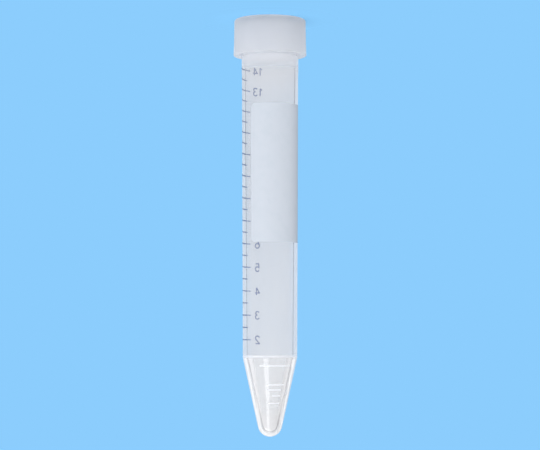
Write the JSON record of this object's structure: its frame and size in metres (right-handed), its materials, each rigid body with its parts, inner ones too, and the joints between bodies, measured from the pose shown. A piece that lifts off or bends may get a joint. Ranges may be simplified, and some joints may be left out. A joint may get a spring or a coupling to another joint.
{
  "type": "15 ml conical tube",
  "caption": "Translucent 15 ml centrifuge tube with a conical bottom, printed scale, writing panel and a smooth plug-seal screw cap.",
  "frame": {"origin": "centre of the cap's flat top, on which the closed tube stands", "axes": "+Z along the tube's axis from the cap to the round tip; the front, with the left edge of the writing panel and the moulded graduations, faces -Y"},
  "size_m": [0.021, 0.021, 0.12],
  "materials": {
    "tube_plastic": "milky translucent polypropylene with a smooth moulded gloss",
    "cap_plastic": "natural milky polyethylene with a fine satin skin",
    "panel_print": "opaque white ink of the writing panel",
    "scale_print": "blue ink of the printed scale"
  },
  "bodies": {
    "cap": {"cap": "cap_plastic"},
    "tube": {"tube": "tube_plastic"}
  },
  "joints": [
    {"name": "tube_lift", "type": "slide", "parent": "cap", "child": "tube", "axis": [0, 0, 1], "range_m": [0, 0.03]}
  ]
}
